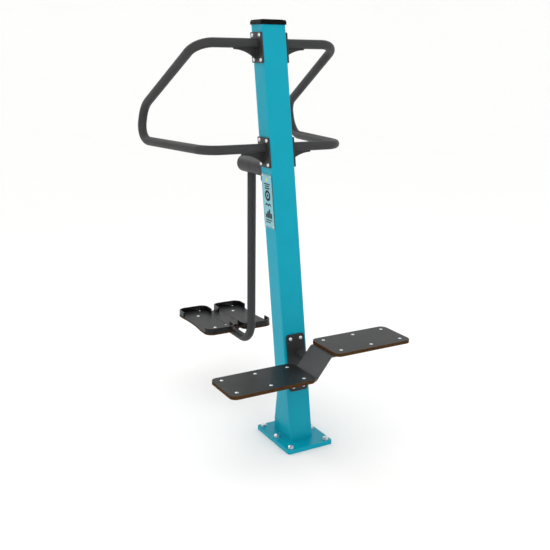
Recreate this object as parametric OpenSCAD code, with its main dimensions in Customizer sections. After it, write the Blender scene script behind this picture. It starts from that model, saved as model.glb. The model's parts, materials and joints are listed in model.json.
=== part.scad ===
// Outdoor hip swing and stepper. A post leans back from a base plate. It carries a handle loop on each
// side, a swing board that hangs behind it from a bearing hub, and two fixed stepping boards in front.
// Millimetres, Z up, origin in the middle of the base plate's underside, stepping boards towards -Y.

/* [Foundation] */
// Width of the base plate, left to right
base_w = 238; // [236:1:280]
// Length of the base plate, front to back
base_l = 306; // [304:1:360]
// Thickness of the base plate
base_t = 20; // [15:1:24]
// Corner radius of the base plate
base_r = 11; // [6:1:20]
// Distance between the left and the right anchor holes
anchor_dx = 190; // [180:1:192]
// Distance from one anchor hole to the next, front to back
anchor_dy = 131; // [118:1:132]
// Diameter of an anchor hole
anchor_hole_d = 18; // [17:0.5:20]

/* [Post] */
// Width of the post, left to right
post_w = 120; // [116:1:130]
// Depth of the post, square to its length
post_d = 104; // [102:1:110]
// Wall thickness of the post
post_wall = 5; // [4:0.5:6]
// Outer corner radius of the post
post_r = 6; // [6:0.5:8]
// Angle that the post leans back from upright
lean = 9.2; // [7:0.1:10]
// Y of the post's centre line where it meets the ground
post_foot_y = -19.5; // [-24:0.5:-10]
// Height of the post's level top cut
post_top = 1898; // [1886:1:1950]
// Thickness of a gusset behind the foot of the post
foot_gusset_t = 8; // [6:1:10]
// Length of a foot gusset along the base plate
foot_gusset_l = 68; // [55:1:80]
// Height of a foot gusset above the ground
foot_gusset_z = 250; // [200:5:280]
// Height of a foot gusset's upright rear edge
foot_gusset_end_h = 45; // [10:1:60]
// Distance from the post's side to a foot gusset
foot_gusset_inset = 12; // [6:1:20]

/* [Top cap] */
// Distance that the cap stands out past the post on every side
cap_over = 5; // [3:0.5:8]
// Height of the cap's lower tier
cap_low_h = 14; // [10:1:18]
// Height of the cap's upper tier
cap_up_h = 6; // [5:1:10]
// Height of the raised middle of the cap
cap_crown_h = 2; // [1:0.5:4]
// Inset of the upper tier from the lower tier
cap_inset = 2; // [1:0.5:4]
// Inset of the raised middle from the lower tier
cap_crown_inset = 12; // [8:1:16]
// Length of the skirt inside the post
cap_skirt_l = 18; // [12:1:22]
// Gap between the skirt and the post's inner wall
cap_gap = 0.2; // [0.1:0.05:0.3]

/* [Handles] */
// Outer diameter of the handle tube and of the swing tube
tube_d = 42.4; // [40:0.1:44]
// Wall thickness of those tubes
tube_wall = 2.6; // [2:0.1:4]
// Centre-line radius of the handle bends
handle_bend_r = 90; // [80:1:92]
// Height of the upper handle flange's centre
upper_flange_z = 1799; // [1780:1:1810]
// Height of the lower handle flange's centre
lower_flange_z = 1341; // [1335:1:1346]
// Height of the handle tube above its flange's centre
tube_rise = 18; // [16:0.5:22]
// X at which the upper bar turns back
upper_reach_x = 359; // [345:1:370]
// X at which the lower bar turns back
lower_reach_x = 350; // [340:1:362]
// X of the rear end of the sloping part
rear_x = 410; // [404:1:418]
// X of the rear end of the lower part
rear_low_x = 436; // [430:1:440]
// Y of the rear end of the loop
rear_y = 797; // [770:1:820]
// Height at which the sloping part meets the rear upright
slope_end_z = 1520; // [1513:1:1539]
// Height of a handle flange
handle_flange_h = 133; // [128:1:140]
// Width of a handle flange, front to back
handle_flange_w = 101; // [98:0.5:104]
// Thickness of every bolted flange
flange_t = 8; // [6:1:10]
// Distance between a handle flange's bolts, front to back
handle_bolt_dy = 65; // [62:0.5:65]
// Distance between a handle flange's bolts, up and down
handle_bolt_dz = 106; // [102:1:108]
// Length of a handle gusset along the bar
handle_gusset_l = 112; // [100:1:116]
// Radius of the handle gusset's hollow edge
handle_gusset_r = 160; // [152:1:175]
// Height of a handle gusset's blunt tip
handle_gusset_tip = 6; // [4:0.5:7]
// Thickness of a handle gusset
handle_gusset_t = 8; // [6:1:10]

/* [Information plate] */
// Height of the plate's centre
sign_z = 1122; // [1104:1:1127]
// Height of the plate
sign_h = 244; // [220:1:250]
// Width of the plate, front to back
sign_w = 94; // [80:1:96]
// Thickness of the plate
sign_t = 3; // [2:0.5:4]
// Distance from the plate's edges to a rivet
rivet_inset = 9; // [7:0.5:12]
// Diameter of a rivet's shank
rivet_d = 4.8; // [4:0.1:5]

/* [Hub] */
// Height of the swing axis
hub_z = 1255; // [1249:1:1259]
// Outer diameter of both hub sleeves
hub_d = 84; // [82:1:88]
// Wall thickness of the fixed sleeve
hub_wall = 6; // [5:0.5:8]
// Height of the hub flange, along the post
hub_flange_h = 103; // [100:1:106]
// Distance between the hub flange's bolts, left to right
hub_bolt_dx = 93; // [90:0.5:93]
// Distance between the hub flange's bolts, along the post
hub_bolt_dz = 78; // [76:1:82]
// Y at which the fixed sleeve ends
fixed_end_y = 384; // [375:1:390]
// Thickness of the stop disc
stop_disc_t = 11.5; // [11:0.5:14]
// Gap between the stop disc and the swinging sleeve
running_gap = 1; // [0.5:0.1:2]
// Diameter of the axle
axle_d = 25; // [24:0.5:25]
// Outer diameter of a bearing
bearing_d = 62; // [61:0.5:62]
// Width of a bearing
bearing_w = 17; // [16:0.5:18]
// Length of the spacer tube between the bearings
spacer_l = 51; // [40:1:60]
// Thickness of the swinging sleeve's front wall
sleeve_lip_t = 5.5; // [4:0.5:8]
// Angle that the swing turns to each side before it stops
swing_angle = 30; // [20:1:32]
// Radius of the circle that the stop pin runs on
stop_r = 36.5; // [36.3:0.1:36.7]
// Diameter of the stop pin
stop_pin_d = 6; // [5:0.1:6]
// Thickness of a rubber stop buffer
buffer_t = 4; // [3:0.5:6]
// Thickness of the end cap's disc
end_cap_t = 12; // [8:1:14]

/* [Swing] */
// Y of the swing tube's upright part
swing_tube_y = 442; // [435:1:460]
// Height of the swing tube's level part
swing_run_z = 336; // [319:1:349]
// Y at which the level part ends
swing_end_y = 900; // [890:1:920]
// Centre-line radius of the swing tube's bend
swing_bend_r = 106; // [100:1:120]
// Thickness of the carrier plate under the foot board
foot_carrier_t = 5; // [4:0.5:6]
// Width of the foot board
foot_w = 384; // [376:1:394]
// Y of the foot board's front edge
foot_front_y = 560; // [555:1:565]
// Y of the foot board's rear edge
foot_rear_y = 970; // [965:1:980]
// Thickness of the foot board
foot_t = 9; // [8:0.5:12]
// Corner radius of the foot board
foot_r = 44; // [36:1:45]
// Depth of the waist on each side of the foot board
foot_waist = 8; // [5:1:14]
// Length of the waist
foot_waist_l = 240; // [220:5:260]
// Height of a shoe rim above the board
rim_h = 26; // [20:1:30]
// Distance from the board's edge to a shoe rim
rim_inset = 1; // [0.5:0.5:4]
// Thickness of a shoe rim
rim_t = 8; // [6:0.5:9]
// Distance that a front rim reaches along the board's side
front_rim_l = 80; // [60:1:90]
// Distance that a rear rim reaches along the board's side
rear_rim_l = 88; // [60:1:90]

/* [Stepper] */
// Height of the lower board's top
lower_step_z = 404; // [394:1:414]
// Height of the upper board above the lower board
step_rise = 98; // [90:1:105]
// Length of a board, left to right
step_w = 415; // [405:1:425]
// Depth of a board, front to back
step_l = 222; // [215:1:230]
// Thickness of a board
step_t = 16; // [14:1:18]
// Corner radius of a board
step_r = 30; // [20:1:36]
// Distance from the end of the carrier plate's bend to a board's inner edge
step_edge_gap = 5; // [0.5:0.1:6]
// Y of the boards' middle
step_y = -162; // [-170:1:-160]
// Thickness of the bent carrier plate
carrier_t = 8; // [6:0.5:10]
// Depth of the carrier plate, front to back
carrier_l = 168; // [164:1:172]
// Level distance that the carrier's sloping part covers
slope_run = 76.6; // [74:0.1:80]
// Centre-line radius of the carrier's two bends
carrier_bend_r = 12; // [10:0.5:14]
// X of the first bolt of a board
step_bolt_x = 95.6; // [94:0.1:98]
// Distance from one board bolt to the next, left to right
step_bolt_dx = 164.2; // [160:0.1:166]
// Distance between the two rows of board bolts
step_bolt_dy = 146.5; // [144:0.5:150]
// Outer diameter of the arm tube
arm_d = 42.4; // [40:0.1:46]
// Wall thickness of the arm tube
arm_wall = 5; // [3:0.5:6]
// X of the arm tube's axis
arm_x = 24; // [20:0.5:25]
// Width of the stepper flange
step_flange_w = 94; // [92:1:98]
// Height of the stepper flange, along the post
step_flange_h = 270; // [262:1:280]
// Height of the stepper flange's centre
step_flange_z = 384; // [377:1:391]
// Distance between the stepper flange's bolts, left to right
step_flange_dx = 54; // [52:1:60]
// Distance between the stepper flange's bolts, along the post
step_flange_dz = 228; // [224:1:234]
// Thickness of a rib under the carrier plate
rib_t = 8; // [6:1:10]

/* [Fasteners] */
// Shank diameter of a flange bolt
bolt_d = 10; // [9:0.5:10]
// Head diameter of a flange bolt
bolt_head_d = 17.5; // [16:0.5:18]
// Head height of a flange bolt
bolt_head_h = 5.5; // [5:0.5:6]
// Outer diameter of a threaded insert
insert_d = 13; // [12.6:0.1:13]
// Length of a threaded insert
insert_l = 11; // [10.5:0.5:11]
// Diameter of the insert's upset ring behind the wall
insert_ring_d = 15; // [14:0.5:15]
// Shank diameter of a board bolt
board_bolt_d = 8; // [7:0.5:8]
// Head diameter of a board bolt
board_head_d = 16; // [14:0.5:18]
// Head height of a board bolt
board_head_h = 2.5; // [2:0.5:3.5]
// Width across the flats of a board bolt's nut
board_nut_af = 13; // [12:0.5:14]
// Height of a board bolt's nut
board_nut_h = 6.5; // [5:0.5:8]
// Width across the flats of an anchor cap nut
anchor_nut_af = 24; // [22:0.5:24]
// Diameter of an anchor washer
anchor_washer_d = 28; // [26:1:30]
// Thickness of an anchor washer
anchor_washer_t = 3; // [2:0.5:4]
// Radial gap between a bolt and the hole that it passes through
bolt_gap = 0.5; // [0.3:0.05:0.6]
// Radial gap of a close fit
fit_gap = 0.05; // [0.02:0.01:0.08]

/* [Hidden] */
$fn = 72;

// Colours
teal = "#1f9cb4";
dark_grey = "#3c3c3e";
plate_grey = "#4a4a4c";
bright_steel = "#c9ccce";
board_grey = "#4a4c4e";
black_plastic = "#181818";
plate_print = "#8bc9d2";

// A cut goes this far past the surface that it opens
past = 1;

// A straight length reaches this far into the bend that follows, and the bend is this much slimmer
seam = 0.5;
seam_step = 0.02;

// The leaning post: its level depth, and the Y of its centre line and its faces at a height
post_depth_y = post_d / cos(lean);
function post_y(z) = post_foot_y + z * tan(lean);
function front_y(z) = post_y(z) - post_depth_y / 2;
function back_y(z) = post_y(z) + post_depth_y / 2;

// Bolt details: the hexagon socket, how far a bolt's end stays inside its insert, and the thread past a nut
socket_af = 6;
socket_depth = 3;
bolt_short = 1;
board_bolt_spare_l = 2;

// Anchor cap nuts: the six-sided part, the whole nut, and the threaded hole from below
anchor_hex_h = 6.5;
anchor_nut_h = 11;
anchor_thread_d = 14;
anchor_thread_l = 7.5;

// Handle tube: height of its two ends and its distance from the middle
upper_bar_z = upper_flange_z + tube_rise;
lower_bar_z = lower_flange_z + tube_rise;
flange_x = post_w / 2 + flange_t;
handle_origin = [0, post_y(lower_bar_z), lower_bar_z];
handle_path = [
  [flange_x, post_y(upper_bar_z), upper_bar_z] - handle_origin,
  [upper_reach_x, post_y(upper_bar_z), upper_bar_z] - handle_origin,
  [rear_x, rear_y, slope_end_z] - handle_origin,
  [rear_low_x, rear_y, lower_bar_z] - handle_origin,
  [lower_reach_x, 0, 0],
  [flange_x, 0, 0]
];

// Bolt places on a side face, in level and upright distances
handle_bolt_y = handle_bolt_dy / 2 / cos(lean);
handle_bolts_yz = [
  for (flange_z = [lower_flange_z, upper_flange_z], sz = [-1, 1], sy = [-1, 1])
    let (z = flange_z + sz * handle_bolt_dz / 2)
      [post_y(z) + sy * handle_bolt_y, z]
];
rivets_yz = [
  for (sz = [-1, 1], sy = [-1, 1])
    let (z = sign_z + sz * (sign_h / 2 - rivet_inset))
      [post_y(z) + sy * (sign_w / 2 - rivet_inset), z]
];
rivet_l = 8;
rivet_head_d = 8;
rivet_head_h = 1.6;

// Places along the hub, from the post outwards
disc_end_y = fixed_end_y + stop_disc_t;
sleeve_y = disc_end_y + running_gap;
front_bearing_y = sleeve_y + sleeve_lip_t;
rear_bearing_y = front_bearing_y + bearing_w + spacer_l;
bearing_end_y = rear_bearing_y + bearing_w;
hub_washer_t = 4;
hub_nut_h = 12;
hub_nut_af = 36;
washer_end_y = bearing_end_y + hub_washer_t;
axle_spare_l = 3;
axle_end_gap = 1;
axle_end_y = washer_end_y + hub_nut_h + axle_spare_l;
sleeve_end_y = axle_end_y + axle_end_gap;
hub_core_d = 34;
hub_washer_d = 32;
sleeve_lip_bore = 40;
seat_step = 4;
sleeve_bore = bearing_d - 2 * seat_step;

// Ball bearing sections
ring_wall = 6;
ball_r = 5.1;
groove_r = 5.4;
ball_pitch_r = (axle_d + bearing_d) / 4;
ball_count = 9;
bearings_y = [front_bearing_y, rear_bearing_y];

// Swing stop: the slot in the stop disc, its buffers and the pin, in degrees about the axle
slot_w = stop_pin_d + 1;
slot_depth = 9;
stop_pin_reach = 8;
stop_pin_seat = 15;
stop_gap = 0.3;
function arc_angle(length) = 2 * asin(length / 2 / stop_r);
buffer_angle = arc_angle(buffer_t);
slot_half_angle = swing_angle + arc_angle(stop_pin_d / 2 + stop_gap) + buffer_angle;

// Swing tube and foot board, from the tube upwards
swing_path = [
  [0, swing_tube_y, hub_z],
  [0, swing_tube_y, swing_run_z],
  [0, swing_end_y, swing_run_z]
];
foot_carrier_z = swing_run_z + tube_d / 2;
foot_z = foot_carrier_z + foot_carrier_t;
foot_top_z = foot_z + foot_t;
foot_waist_shift = 10;
foot_waist_y = (foot_front_y + foot_rear_y) / 2 + foot_waist_shift;
foot_waist_r = (foot_waist * foot_waist + foot_waist_l * foot_waist_l / 4) / 2 / foot_waist;
front_notch_w = 38;
front_notch_l = 95;
rear_notch_w = 36;
rear_notch_l = 46;
foot_bolt_x = 107.5;
front_bolt_l = 90;
rear_bolt_l = 103;
foot_bolts_xy = [
  for (x = [-foot_bolt_x, foot_bolt_x], y = [foot_front_y + front_bolt_l, foot_rear_y - rear_bolt_l])
    [x, y]
];
lobe_l = 140;
foot_carrier_l = 265;
foot_carrier_front_y = swing_end_y - foot_carrier_l;
foot_carrier_w = 250;
front_foot_rib_l = 140;
rear_foot_rib_l = 120;
foot_ribs_y = [foot_front_y + front_foot_rib_l, foot_rear_y - rear_foot_rib_l];
foot_rib_t = 6;
foot_rib_w = 190;
foot_rib_h = 46;
tread_w = 3;
tread_depth = 1;
tread_l = 180;
left_tread_x = -34;
left_tread_l = 112;
right_tread_x = 47;
right_tread_l = 158;
treads_xy = [
  [left_tread_x, foot_front_y + left_tread_l],
  [right_tread_x, foot_front_y + right_tread_l]
];

// Shoe rims: the screwed tab inside each, off the middle at the rear, where both rims are the same piece
tab_w = 22;
tab_l = 34;
tab_t = 3;
tab_x = 103;
rear_tab_shift = 38;
function rim_tab_x(side, end) = side * tab_x + (end < 0 ? 0 : rear_tab_shift);
tab_screw_l = 27;
screw_d = 5;
screw_head_d = 9;
screw_head_h = 2;
screw_l = 8;
rim_screws_xy = [
  for (side = [-1, 1], end = [-1, 1])
    [rim_tab_x(side, end), (end < 0 ? foot_front_y : foot_rear_y) - end * tab_screw_l]
];
board_screw_x = 38;
board_screw_l = 104;
board_screws_xy = [for (sx = [-1, 1]) [sx * board_screw_x, foot_front_y + board_screw_l]];

// Stepper: the carrier's middle surface, and the arm that touches the slope's underside
lower_mid_z = lower_step_z - step_t - carrier_t / 2;
upper_mid_z = lower_mid_z + step_rise;
upper_step_z = lower_step_z + step_rise;
slope_angle = atan2(step_rise, slope_run);
step_inner_x = slope_run / 2 + carrier_bend_r * tan(slope_angle / 2) + step_edge_gap;
carrier_short = 14;
carrier_shift = 2;
carrier_end_x = step_inner_x + step_w - carrier_short;
carrier_path = [
  [-carrier_end_x, lower_mid_z],
  [-slope_run / 2, lower_mid_z],
  [slope_run / 2, upper_mid_z],
  [carrier_end_x, upper_mid_z]
];
slope_mid_z = lower_mid_z + (arm_x + slope_run / 2) * tan(slope_angle);
arm_z = slope_mid_z - (arm_d + carrier_t) / 2 / cos(slope_angle);
rear_rib_l = 54;
front_rib_l = 14;
rear_rib_y = step_y + rear_rib_l;
front_rib_y = step_y + front_rib_l;
arm_plug_t = 4;
arm_end_y = front_rib_y - rib_t / 2;
rib_left_x = 140;
rib_right_x = 110;
rib_tip_h = 13;
rib_below_arm = 44;
rib_beside_arm = 38;
rib_outline = [
  [-rib_left_x, lower_mid_z],
  [-slope_run / 2, lower_mid_z],
  [slope_run / 2, upper_mid_z],
  [rib_right_x, upper_mid_z],
  [rib_right_x, upper_mid_z - rib_tip_h],
  [arm_x + rib_beside_arm, arm_z - arm_d / 4],
  [arm_x - arm_d / 2, arm_z - rib_below_arm],
  [-rib_left_x, lower_mid_z - rib_tip_h]
];
step_bolts_x = [for (i = [0:2]) step_bolt_x + i * step_bolt_dx];
step_bolts_y = [for (s = [-1, 1]) step_y + s * step_bolt_dy / 2];

// Vector helpers
function unit(v) = v / norm(v);
function turn_angle(a, b, c) = acos(unit(b - a) * unit(c - b));
function setback(a, b, c, bend_r) = bend_r * tan(turn_angle(a, b, c) / 2);

// Four-cornered block with round upright edges, centred in X and Y
module rounded_block(w, l, h, r) {
  translate([-w / 2 + r, -l / 2, 0])
    cube([w - 2 * r, l, h]);
  translate([-w / 2, -l / 2 + r, 0])
    cube([w, l - 2 * r, h]);
  for (sx = [-1, 1], sy = [-1, 1])
    translate([sx * (w / 2 - r), sy * (l / 2 - r), 0])
      cylinder(r=r, h=h);
}

// Plate over a convex outline, listed anticlockwise, with its corners rounded
module rounded_plate(p, r, t) {
  n = len(p);
  tangents = [
    for (i = [0:n - 1])
      let (a = p[(i + n - 1) % n], b = p[i], c = p[(i + 1) % n], s = setback(a, b, c, r))
        each [b - unit(b - a) * s, b + unit(c - b) * s]
  ];
  linear_extrude(t)
    polygon(tangents);
  for (i = [0:n - 1]) {
    u = unit(p[i] - p[(i + n - 1) % n]);
    translate([tangents[2 * i][0] - u[1] * r, tangents[2 * i][1] + u[0] * r, 0])
      cylinder(r=r, h=t);
  }
}

// Straight round bar from a to b
module rod(a, b, r) {
  d = b - a;
  translate(a)
    rotate([0, acos(d[2] / norm(d)), atan2(d[1], d[0])])
      cylinder(r=r, h=norm(d));
}

// Round bar of radius r through the bend at b, on the way from a to c
module bend(a, b, c, bend_r, r) {
  u = unit(b - a);
  v = unit(c - b);
  angle = turn_angle(a, b, c);
  n = (v - u * cos(angle)) / sin(angle);
  w = cross(u, n);
  o = b - u * setback(a, b, c, bend_r) + n * bend_r;
  multmatrix([
    [-n[0], u[0], w[0], o[0]],
    [-n[1], u[1], w[1], o[1]],
    [-n[2], u[2], w[2], o[2]]
  ])
    rotate_extrude(angle=angle)
      translate([bend_r, 0])
        circle(r=r);
}

// Round bar along a path with bends, lengthened by extra at both ends
module bent_rod(p, bend_r, r, extra = 0) {
  last = len(p) - 1;
  for (i = [0:last - 1]) {
    u = unit(p[i + 1] - p[i]);
    start = i == 0 ? -extra : setback(p[i - 1], p[i], p[i + 1], bend_r) - seam;
    end = i == last - 1 ? -extra : setback(p[i], p[i + 1], p[i + 2], bend_r) - seam;
    rod(p[i] + u * start, p[i + 1] - u * end, r);
  }
  for (i = [1:last - 1])
    bend(p[i - 1], p[i], p[i + 1], bend_r, r - seam_step);
}

// Hollow bent tube
module bent_tube(p, bend_r, d, wall) {
  difference() {
    bent_rod(p, bend_r, d / 2);
    bent_rod(p, bend_r, d / 2 - wall, past);
  }
}

// Line at distance h to the left of a flat path, with the path's corners bent
bend_steps = 10;
function left(v) = [-v[1], v[0]];
function turned(v, angle) = [v[0] * cos(angle) - v[1] * sin(angle), v[0] * sin(angle) + v[1] * cos(angle)];
function bent_line(p, bend_r, h) = [
  for (i = [0:len(p) - 1])
    let (u = unit(i == 0 ? p[1] - p[0] : p[i] - p[i - 1]))
      if (i == 0 || i == len(p) - 1)
        p[i] + left(u) * h
      else
        let (
          angle = turn_angle(p[i - 1], p[i], p[i + 1]),
          side = sign(cross(u, p[i + 1] - p[i])),
          centre = p[i] - u * setback(p[i - 1], p[i], p[i + 1], bend_r) + left(u) * side * bend_r
        )
          for (k = [0:bend_steps])
            centre - left(turned(u, side * angle * k / bend_steps)) * (side * bend_r - h)
];

// Sheet of depth w, bent along a path of X and Z
module bent_sheet(p, bend_r, t, w) {
  top = bent_line(p, bend_r, t / 2);
  translate([0, w / 2, 0])
    rotate([90, 0, 0])
      linear_extrude(w)
        polygon(concat(bent_line(p, bend_r, -t / 2), [for (i = [1:len(top)]) top[len(top) - i]]));
}

// The post's solid shape, drawn in by inset, between two level cuts
module leaning_block(inset, z0, z1) {
  corner_r = max(post_r - inset, 1);
  intersection() {
    translate([0, post_foot_y, 0])
      rotate([-lean, 0, 0])
        translate([0, 0, -post_d])
          rounded_block(post_w - 2 * inset, post_d - 2 * inset, post_top + 3 * post_d, corner_r);
    translate([-post_w, -post_top / 2, z0])
      cube([2 * post_w, post_top, z1 - z0]);
  }
}

// Frames on the post's faces. Local Z points out of the face.
// Side faces: local X and Y are the object's own Y and Z
module on_side(side) {
  mirror([side < 0 ? 1 : 0, 0, 0])
    translate([post_w / 2, 0, 0])
      rotate([90, 0, 90])
        children();
}

// Front face: local Y runs up the face from height z
module on_front(z) {
  translate([0, front_y(z), z])
    rotate([90 - lean, 0, 0])
      children();
}

// Back face: local Y runs down the face from height z
module on_back(z) {
  translate([0, back_y(z), z])
    rotate([-90 - lean, 0, 0])
      children();
}

// Four copies at the corners of a rectangle
module four(dx, dy) {
  for (sx = [-1, 1], sy = [-1, 1])
    translate([sx * dx / 2, sy * dy / 2, 0])
      children();
}

// Everything between a face of the post and height t above it
module below_face(t) {
  translate([-post_w, -post_w, -post_d])
    cube([2 * post_w, 2 * post_w, post_d + t]);
}

// Copies a piece to each bolt place on one side face
module at_handle_bolts(side) {
  on_side(side)
    for (p = handle_bolts_yz)
      translate([p[0], p[1], 0])
        children();
}

// Domed head with its flat side at z = 0
module dome(d, h) {
  r = (d * d / 4 + h * h) / 2 / h;
  intersection() {
    translate([0, 0, h - r])
      sphere(r=r);
    cylinder(d=d + past, h=h + past);
  }
}

// Button-headed bolt: the head stands on z = 0 and the shank goes down
module flange_bolt() {
  shank_l = flange_t + insert_l - bolt_short;
  difference() {
    union() {
      dome(bolt_head_d, bolt_head_h);
      translate([0, 0, -shank_l])
        cylinder(d=bolt_d, h=shank_l);
    }
    translate([0, 0, bolt_head_h - socket_depth])
      cylinder(d=socket_af / cos(30), h=socket_depth + past, $fn=6);
  }
}

// Threaded insert whose outer end is flush with z = 0
module insert() {
  ring_h = 4;
  difference() {
    union() {
      translate([0, 0, -insert_l])
        cylinder(d=insert_d, h=insert_l);
      translate([0, 0, -post_wall - ring_h - fit_gap])
        cylinder(d=insert_ring_d, h=ring_h);
    }
    translate([0, 0, -insert_l - past])
      cylinder(d=bolt_d + 2 * fit_gap, h=insert_l + 2 * past);
  }
}

// Hole through the post's wall for an insert
module insert_hole() {
  translate([0, 0, -post_wall - past])
    cylinder(d=insert_d + 2 * fit_gap, h=post_wall + 2 * past);
}

// Hole through a flange for a bolt, starting at z = 0
module flange_hole() {
  translate([0, 0, -past])
    cylinder(d=bolt_d + 2 * bolt_gap, h=flange_t + 2 * past);
}

// Six-sided nut with a plain bore
module nut(af, h, bore) {
  difference() {
    cylinder(d=af / cos(30), h=h, $fn=6);
    translate([0, 0, -past])
      cylinder(d=bore, h=h + 2 * past);
  }
}

// Round-headed board bolt: the head stands on z = 0, the shank goes down by grip and through a nut
module board_bolt(grip) {
  dome(board_head_d, board_head_h);
  translate([0, 0, -grip - board_nut_h - board_bolt_spare_l])
    cylinder(d=board_bolt_d, h=grip + board_nut_h + board_bolt_spare_l);
}

// Round bar along the hub axis from y0 to y1
module hub_bar(y0, y1, d) {
  translate([0, y0, hub_z])
    rotate([-90, 0, 0])
      cylinder(d=d, h=y1 - y0);
}

// Ring along the hub axis from y0 to y1
module hub_ring(y0, y1, d, bore) {
  difference() {
    hub_bar(y0, y1, d);
    hub_bar(y0 - past, y1 + past, bore);
  }
}

// Places a piece in the stop slot's frame: local Z runs along the axle, angle 0 at the top
module stop_frame(angle) {
  translate([0, disc_end_y, hub_z])
    rotate([-90, 0, 0])
      rotate([0, 0, -90 + angle])
        children();
}

// Base plate with its six anchor holes
module base_plate() {
  color(teal)
    difference() {
      rounded_block(base_w, base_l, base_t, base_r);
      for (i = [-1:1], s = [-1, 1])
        translate([s * anchor_dx / 2, i * anchor_dy, -past])
          cylinder(d=anchor_hole_d, h=base_t + 2 * past);
    }
}

// Copies a piece to the six anchors
module at_anchors(z) {
  for (i = [-1:1], s = [-1, 1])
    translate([s * anchor_dx / 2, i * anchor_dy, z])
      children();
}

// Washers under the anchor nuts
module anchor_washers() {
  color(bright_steel)
    at_anchors(base_t)
      difference() {
        cylinder(d=anchor_washer_d, h=anchor_washer_t);
        translate([0, 0, -past])
          cylinder(d=anchor_hole_d - 1, h=anchor_washer_t + 2 * past);
      }
}

// Cap nuts, open below for the anchor studs that come up out of the ground
module anchor_nuts() {
  color(bright_steel)
    at_anchors(base_t + anchor_washer_t)
      difference() {
        union() {
          cylinder(d=anchor_nut_af / cos(30), h=anchor_hex_h, $fn=6);
          translate([0, 0, anchor_hex_h])
            dome(anchor_nut_af - 1, anchor_nut_h - anchor_hex_h);
        }
        translate([0, 0, -past])
          cylinder(d=anchor_thread_d, h=anchor_thread_l + past);
      }
}

// Leaning square post, cut level at both ends, with a hole for every insert and rivet
module post_tube() {
  color(teal)
    difference() {
      leaning_block(0, base_t, post_top);
      leaning_block(post_wall, base_t - past, post_top + past);
      for (side = [-1, 1])
        at_handle_bolts(side)
          insert_hole();
      on_back(hub_z)
        four(hub_bolt_dx, hub_bolt_dz)
          insert_hole();
      on_front(step_flange_z)
        four(step_flange_dx, step_flange_dz)
          insert_hole();
      on_side(-1)
        for (p = rivets_yz)
          translate([p[0], p[1], -post_wall - past])
            cylinder(d=rivet_d + 2 * fit_gap, h=post_wall + 2 * past);
    }
}

// Tapered plate behind the foot of the post, set in from the post's side
module foot_gusset(side) {
  tip = 5;
  color(teal)
    difference() {
      on_side(side)
        translate([0, 0, -foot_gusset_inset - foot_gusset_t])
          linear_extrude(foot_gusset_t)
            polygon([
              [back_y(base_t) - post_r, base_t],
              [back_y(base_t) + foot_gusset_l, base_t],
              [back_y(base_t) + foot_gusset_l, base_t + foot_gusset_end_h],
              [back_y(foot_gusset_z) + tip, foot_gusset_z],
              [back_y(foot_gusset_z) - post_r, foot_gusset_z]
            ]);
      leaning_block(0, 0, post_top);
    }
}

// One tier of the cap, standing out past the post's level outline by over
module cap_tier(over, z, h) {
  corner_r = 8;
  translate([0, post_y(post_top), z])
    rounded_block(post_w + 2 * over, post_depth_y + 2 * over, h, corner_r);
}

// Black plastic cap in three steps, with a skirt inside the post
module top_cap() {
  skirt_wall = 2;
  tier_z = [post_top, post_top + cap_low_h, post_top + cap_low_h + cap_up_h];
  color(black_plastic) {
    cap_tier(cap_over, tier_z[0], cap_low_h);
    cap_tier(cap_over - cap_inset, tier_z[1], cap_up_h);
    cap_tier(cap_over - cap_crown_inset, tier_z[2], cap_crown_h);
    difference() {
      leaning_block(post_wall + cap_gap, post_top - cap_skirt_l, post_top);
      leaning_block(post_wall + cap_gap + skirt_wall, post_top - cap_skirt_l - past, post_top + past);
    }
  }
}

// Threaded inserts in the post's wall
module post_inserts() {
  color(bright_steel) {
    for (side = [-1, 1])
      at_handle_bolts(side)
        insert();
    on_back(hub_z)
      four(hub_bolt_dx, hub_bolt_dz)
        insert();
    on_front(step_flange_z)
      four(step_flange_dx, step_flange_dz)
        insert();
  }
}

// Bent handle tube; the left one is the right one's mirror image
module handle_tube(side) {
  color(dark_grey)
    mirror([side < 0 ? 1 : 0, 0, 0])
      translate(handle_origin)
        bent_tube(handle_path, handle_bend_r, tube_d, tube_wall);
}

// Handle flange: level top and bottom, sides that lean with the post
module handle_flange(side, z) {
  corner_r = 6;
  h = handle_flange_h / 2;
  w = handle_flange_w / 2;
  color(plate_grey)
    difference() {
      on_side(side)
        rounded_plate([
          [post_y(z - h) - w, z - h],
          [post_y(z - h) + w, z - h],
          [post_y(z + h) + w, z + h],
          [post_y(z + h) - w, z + h]
        ], corner_r, flange_t);
      at_handle_bolts(side)
        flange_hole();
    }
}

// Gusset with a hollow edge under a handle bar, notched for the tube
module handle_gusset(side, bar_z) {
  tip_x = flange_x + handle_gusset_l;
  arc_z = bar_z - tube_d / 2 - handle_gusset_tip - handle_gusset_r;
  color(plate_grey)
    mirror([side < 0 ? 1 : 0, 0, 0])
      translate([0, post_y(bar_z), 0])
        difference() {
          translate([flange_x, -handle_gusset_t / 2, arc_z + handle_gusset_r / 2])
            cube([handle_gusset_l, handle_gusset_t, bar_z - arc_z - handle_gusset_r / 2]);
          translate([tip_x, handle_gusset_t, arc_z])
            rotate([90, 0, 0])
              cylinder(r=handle_gusset_r, h=2 * handle_gusset_t, $fn=240);
          translate([flange_x - past, 0, bar_z])
            rotate([0, 90, 0])
              cylinder(d=tube_d + 2 * fit_gap, h=handle_gusset_l + 2 * past);
        }
}

// Bolts of the four handle flanges
module handle_bolts() {
  color(bright_steel)
    for (side = [-1, 1])
      at_handle_bolts(side)
        translate([0, 0, flange_t])
          flange_bolt();
}

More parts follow.
